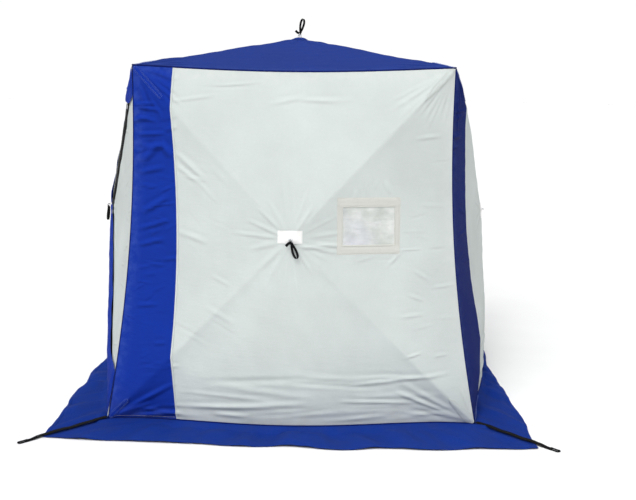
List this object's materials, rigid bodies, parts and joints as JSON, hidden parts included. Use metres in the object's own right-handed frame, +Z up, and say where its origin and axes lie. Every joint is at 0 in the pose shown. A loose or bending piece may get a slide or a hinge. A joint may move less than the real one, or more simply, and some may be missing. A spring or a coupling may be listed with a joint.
{
  "type": "ice fishing shelter",
  "caption": "Pop-up cube ice shelter: fabric walls pushed out by hubs and folding rods, zipped door, clear window, ground skirt and corner anchor straps.",
  "frame": {"origin": "on the ground, at the middle of the floor", "axes": "+Z up; the front wall, with the window, faces -Y; the door is in the left wall, which faces -X"},
  "size_m": [2.5676, 2.5676, 2.016],
  "materials": {
    "fabric_blue": "matte",
    "fabric_navy": "matte",
    "fabric_ivory": "matte",
    "clear_window": "gloss",
    "webbing_black": "matte",
    "zip_black": "matte",
    "slider_metal": "satin",
    "hub_metal": "satin",
    "rod_fibreglass": "satin",
    "corner_plastic": "matte"
  },
  "bodies": {
    "root": {"front_wall_strip": "fabric_blue", "front_wall_field": "fabric_ivory", "right_wall_strip": "fabric_navy", "right_wall_field": "fabric_ivory", "back_wall_strip": "fabric_blue", "back_wall_field": "fabric_ivory", "left_wall_strip": "fabric_blue", "left_wall_field": "fabric_ivory", "front_window_binding": "fabric_ivory", "front_window_pane": "clear_window", "roof_panel": "fabric_blue", "corner_foot_front_left": "corner_plastic", "corner_guard_front_left": "corner_plastic", "corner_foot_front_right": "corner_plastic", "corner_guard_front_right": "corner_plastic", "corner_foot_back_right": "corner_plastic", "corner_guard_back_right": "corner_plastic", "corner_foot_back_left": "corner_plastic", "corner_guard_back_left": "corner_plastic", "snow_skirt": "fabric_blue", "anchor_strap_front_left": "webbing_black", "anchor_strap_front_right": "webbing_black", "anchor_strap_back_right": "webbing_black", "anchor_strap_back_left": "webbing_black"},
    "front_hub": {"front_hub": "hub_metal"},
    "front_rod_lower_left": {"front_rod_lower_left": "rod_fibreglass"},
    "front_rod_lower_right": {"front_rod_lower_right": "rod_fibreglass"},
    "front_rod_upper_right": {"front_rod_upper_right": "rod_fibreglass"},
    "front_rod_upper_left": {"front_rod_upper_left": "rod_fibreglass"},
    "front_pull_loop": {"front_pull_loop": "webbing_black"},
    "right_hub": {"right_hub": "hub_metal"},
    "right_rod_lower_left": {"right_rod_lower_left": "rod_fibreglass"},
    "right_rod_lower_right": {"right_rod_lower_right": "rod_fibreglass"},
    "right_rod_upper_right": {"right_rod_upper_right": "rod_fibreglass"},
    "right_rod_upper_left": {"right_rod_upper_left": "rod_fibreglass"},
    "back_hub": {"back_hub": "hub_metal"},
    "back_rod_lower_left": {"back_rod_lower_left": "rod_fibreglass"},
    "back_rod_lower_right": {"back_rod_lower_right": "rod_fibreglass"},
    "back_rod_upper_right": {"back_rod_upper_right": "rod_fibreglass"},
    "back_rod_upper_left": {"back_rod_upper_left": "rod_fibreglass"},
    "back_pull_loop": {"back_pull_loop": "webbing_black"},
    "left_hub": {"left_hub": "hub_metal"},
    "left_rod_lower_left": {"left_rod_lower_left": "rod_fibreglass"},
    "left_rod_lower_right": {"left_rod_lower_right": "rod_fibreglass"},
    "left_rod_upper_right": {"left_rod_upper_right": "rod_fibreglass"},
    "left_rod_upper_left": {"left_rod_upper_left": "rod_fibreglass"},
    "left_pull_loop": {"left_pull_loop": "webbing_black"},
    "roof_hub": {"roof_hub": "hub_metal"},
    "roof_rod_front_left": {"roof_rod_front_left": "rod_fibreglass"},
    "roof_rod_front_right": {"roof_rod_front_right": "rod_fibreglass"},
    "roof_rod_back_right": {"roof_rod_back_right": "rod_fibreglass"},
    "roof_rod_back_left": {"roof_rod_back_left": "rod_fibreglass"},
    "roof_pull_loop": {"roof_pull_loop": "webbing_black"},
    "door_zip": {"door_zip": "zip_black"},
    "door_panel": {"door_panel": "fabric_ivory"},
    "door_slider_lower": {"door_slider_lower": "slider_metal"},
    "door_slider_upper": {"door_slider_upper": "slider_metal"}
  },
  "joints": [
    {"name": "front_hub_pop", "type": "slide", "parent": "root", "child": "front_hub", "axis": [0, 0.9969, -0.0793], "range_m": [0, 0.458], "deforming": ["front_wall_strip", "front_wall_field", "front_window_binding", "front_window_pane"]},
    {"name": "front_rod_lower_left_fold", "type": "hinge", "parent": "front_hub", "child": "front_rod_lower_left", "pos_m": [-0.0182, -1.05597, 0.93877], "axis": [-0.7143, 0.0555, 0.6977], "range_deg": [0, 21.08]},
    {"name": "front_rod_lower_right_fold", "type": "hinge", "parent": "front_hub", "child": "front_rod_lower_right", "pos_m": [0.0182, -1.05597, 0.93877], "axis": [-0.7143, -0.0555, -0.6977], "range_deg": [0, 21.08]},
    {"name": "front_rod_upper_right_fold", "type": "hinge", "parent": "front_hub", "child": "front_rod_upper_right", "pos_m": [0.01796, -1.05301, 0.97602], "axis": [0.723, -0.0548, -0.6887], "range_deg": [0, 24.7]},
    {"name": "front_rod_upper_left_fold", "type": "hinge", "parent": "front_hub", "child": "front_rod_upper_left", "pos_m": [-0.01796, -1.05301, 0.97602], "axis": [0.723, 0.0548, 0.6887], "range_deg": [0, 24.7]},
    {"name": "front_pull_loop_swing", "type": "hinge", "parent": "front_hub", "child": "front_pull_loop", "pos_m": [0, -1.09836, 0.96077], "axis": [-1, 0, 0], "range_deg": [0, 150]},
    {"name": "right_hub_pop", "type": "slide", "parent": "root", "child": "right_hub", "axis": [-0.9969, 0, -0.0793], "range_m": [0, 0.388], "deforming": ["right_wall_strip", "right_wall_field"]},
    {"name": "right_rod_lower_left_fold", "type": "hinge", "parent": "right_hub", "child": "right_rod_lower_left", "pos_m": [1.02108, -0.0182, 0.936], "axis": [-0.0555, -0.7143, 0.6977], "range_deg": [0, 17.92]},
    {"name": "right_rod_lower_right_fold", "type": "hinge", "parent": "right_hub", "child": "right_rod_lower_right", "pos_m": [1.02108, 0.0182, 0.936], "axis": [0.0555, -0.7143, -0.6977], "range_deg": [0, 17.92]},
    {"name": "right_rod_upper_right_fold", "type": "hinge", "parent": "right_hub", "child": "right_rod_upper_right", "pos_m": [1.01812, 0.01796, 0.97325], "axis": [0.0548, 0.723, -0.6887], "range_deg": [0, 21.02]},
    {"name": "right_rod_upper_left_fold", "type": "hinge", "parent": "right_hub", "child": "right_rod_upper_left", "pos_m": [1.01812, -0.01796, 0.97325], "axis": [-0.0548, 0.723, 0.6887], "range_deg": [0, 21.02]},
    {"name": "back_hub_pop", "type": "slide", "parent": "root", "child": "back_hub", "axis": [0, -0.9969, -0.0793], "range_m": [0, 0.458], "deforming": ["back_wall_strip", "back_wall_field"]},
    {"name": "back_rod_lower_left_fold", "type": "hinge", "parent": "back_hub", "child": "back_rod_lower_left", "pos_m": [0.0182, 1.05597, 0.93877], "axis": [0.7143, -0.0555, 0.6977], "range_deg": [0, 21.08]},
    {"name": "back_rod_lower_right_fold", "type": "hinge", "parent": "back_hub", "child": "back_rod_lower_right", "pos_m": [-0.0182, 1.05597, 0.93877], "axis": [0.7143, 0.0555, -0.6977], "range_deg": [0, 21.08]},
    {"name": "back_rod_upper_right_fold", "type": "hinge", "parent": "back_hub", "child": "back_rod_upper_right", "pos_m": [-0.01796, 1.05301, 0.97602], "axis": [-0.723, 0.0548, -0.6887], "range_deg": [0, 24.7]},
    {"name": "back_rod_upper_left_fold", "type": "hinge", "parent": "back_hub", "child": "back_rod_upper_left", "pos_m": [0.01796, 1.05301, 0.97602], "axis": [-0.723, -0.0548, 0.6887], "range_deg": [0, 24.7]},
    {"name": "back_pull_loop_swing", "type": "hinge", "parent": "back_hub", "child": "back_pull_loop", "pos_m": [0, 1.09836, 0.96077], "axis": [1, 0, 0], "range_deg": [0, 150]},
    {"name": "left_hub_pop", "type": "slide", "parent": "root", "child": "left_hub", "axis": [0.9969, 0, -0.0793], "range_m": [0, 0.458], "deforming": ["left_wall_strip", "left_wall_field"]},
    {"name": "left_rod_lower_left_fold", "type": "hinge", "parent": "left_hub", "child": "left_rod_lower_left", "pos_m": [-1.05597, 0.0182, 0.93877], "axis": [0.0555, 0.7143, 0.6977], "range_deg": [0, 21.08]},
    {"name": "left_rod_lower_right_fold", "type": "hinge", "parent": "left_hub", "child": "left_rod_lower_right", "pos_m": [-1.05597, -0.0182, 0.93877], "axis": [-0.0555, 0.7143, -0.6977], "range_deg": [0, 21.08]},
    {"name": "left_rod_upper_right_fold", "type": "hinge", "parent": "left_hub", "child": "left_rod_upper_right", "pos_m": [-1.05301, -0.01796, 0.97602], "axis": [-0.0548, -0.723, -0.6887], "range_deg": [0, 24.7]},
    {"name": "left_rod_upper_left_fold", "type": "hinge", "parent": "left_hub", "child": "left_rod_upper_left", "pos_m": [-1.05301, 0.01796, 0.97602], "axis": [0.0548, -0.723, 0.6887], "range_deg": [0, 24.7]},
    {"name": "left_pull_loop_swing", "type": "hinge", "parent": "left_hub", "child": "left_pull_loop", "pos_m": [-1.09836, 0, 0.96077], "axis": [0, 1, 0], "range_deg": [0, 150]},
    {"name": "roof_hub_pop", "type": "slide", "parent": "root", "child": "roof_hub", "axis": [0, 0, -1], "range_m": [0, 0.288], "deforming": ["roof_panel"]},
    {"name": "roof_rod_front_left_fold", "type": "hinge", "parent": "roof_hub", "child": "roof_rod_front_left", "pos_m": [-0.01838, -0.01838, 1.88], "axis": [-0.7071, 0.7071, 0], "range_deg": [0, 16.09]},
    {"name": "roof_rod_front_right_fold", "type": "hinge", "parent": "roof_hub", "child": "roof_rod_front_right", "pos_m": [0.01838, -0.01838, 1.88], "axis": [-0.7071, -0.7071, 0], "range_deg": [0, 16.09]},
    {"name": "roof_rod_back_right_fold", "type": "hinge", "parent": "roof_hub", "child": "roof_rod_back_right", "pos_m": [0.01838, 0.01838, 1.88], "axis": [0.7071, -0.7071, 0], "range_deg": [0, 16.09]},
    {"name": "roof_rod_back_left_fold", "type": "hinge", "parent": "roof_hub", "child": "roof_rod_back_left", "pos_m": [-0.01838, 0.01838, 1.88], "axis": [0.7071, 0.7071, 0], "range_deg": [0, 16.09]},
    {"name": "roof_pull_loop_swing", "type": "hinge", "parent": "roof_hub", "child": "roof_pull_loop", "pos_m": [0, 0, 1.924], "axis": [1, 0, 0], "range_deg": [-80, 80], "stiffness_Nm_per_rad": 0.01},
    {"name": "door_zip_fold", "type": "hinge", "parent": "root", "child": "door_zip", "pos_m": [-0.89033, -0.89011, -0.00553], "axis": [-0.079, -0.079, -0.9937], "range_deg": [0, 31.46]},
    {"name": "door_swing", "type": "hinge", "parent": "door_zip", "child": "door_panel", "pos_m": [-0.91696, -0.84027, -0.00738], "axis": [0.079, 0.079, 0.9937], "range_deg": [0, 110]},
    {"name": "door_slider_lower_travel", "type": "slide", "parent": "door_zip", "child": "door_slider_lower", "axis": [-0.1202, 0.6889, 0.7148], "range_m": [0, 0.9316]},
    {"name": "door_slider_upper_travel", "type": "slide", "parent": "door_zip", "child": "door_slider_upper", "axis": [-0.2589, 0.6764, -0.6895], "range_m": [0, 0.7803]}
  ],
  "couplings": [
    {"joint": "front_rod_lower_left_fold", "follows": "front_hub_pop", "rad_per_m": 0.80148},
    {"joint": "front_rod_lower_right_fold", "follows": "front_hub_pop", "rad_per_m": 0.80148},
    {"joint": "front_rod_upper_right_fold", "follows": "front_hub_pop", "rad_per_m": 0.93917},
    {"joint": "front_rod_upper_left_fold", "follows": "front_hub_pop", "rad_per_m": 0.93917},
    {"joint": "right_rod_lower_left_fold", "follows": "right_hub_pop", "rad_per_m": 0.80402},
    {"joint": "right_rod_lower_right_fold", "follows": "right_hub_pop", "rad_per_m": 0.80402},
    {"joint": "right_rod_upper_right_fold", "follows": "right_hub_pop", "rad_per_m": 0.94325},
    {"joint": "right_rod_upper_left_fold", "follows": "right_hub_pop", "rad_per_m": 0.94325},
    {"joint": "back_rod_lower_left_fold", "follows": "back_hub_pop", "rad_per_m": 0.80148},
    {"joint": "back_rod_lower_right_fold", "follows": "back_hub_pop", "rad_per_m": 0.80148},
    {"joint": "back_rod_upper_right_fold", "follows": "back_hub_pop", "rad_per_m": 0.93917},
    {"joint": "back_rod_upper_left_fold", "follows": "back_hub_pop", "rad_per_m": 0.93917},
    {"joint": "left_rod_lower_left_fold", "follows": "left_hub_pop", "rad_per_m": 0.80148},
    {"joint": "left_rod_lower_right_fold", "follows": "left_hub_pop", "rad_per_m": 0.80148},
    {"joint": "left_rod_upper_right_fold", "follows": "left_hub_pop", "rad_per_m": 0.93917},
    {"joint": "left_rod_upper_left_fold", "follows": "left_hub_pop", "rad_per_m": 0.93917},
    {"joint": "roof_rod_front_left_fold", "follows": "roof_hub_pop", "rad_per_m": 0.97193},
    {"joint": "roof_rod_front_right_fold", "follows": "roof_hub_pop", "rad_per_m": 0.97193},
    {"joint": "roof_rod_back_right_fold", "follows": "roof_hub_pop", "rad_per_m": 0.97193},
    {"joint": "roof_rod_back_left_fold", "follows": "roof_hub_pop", "rad_per_m": 0.97193},
    {"joint": "door_zip_fold", "follows": "left_hub_pop", "rad_per_m": 1.197}
  ]
}
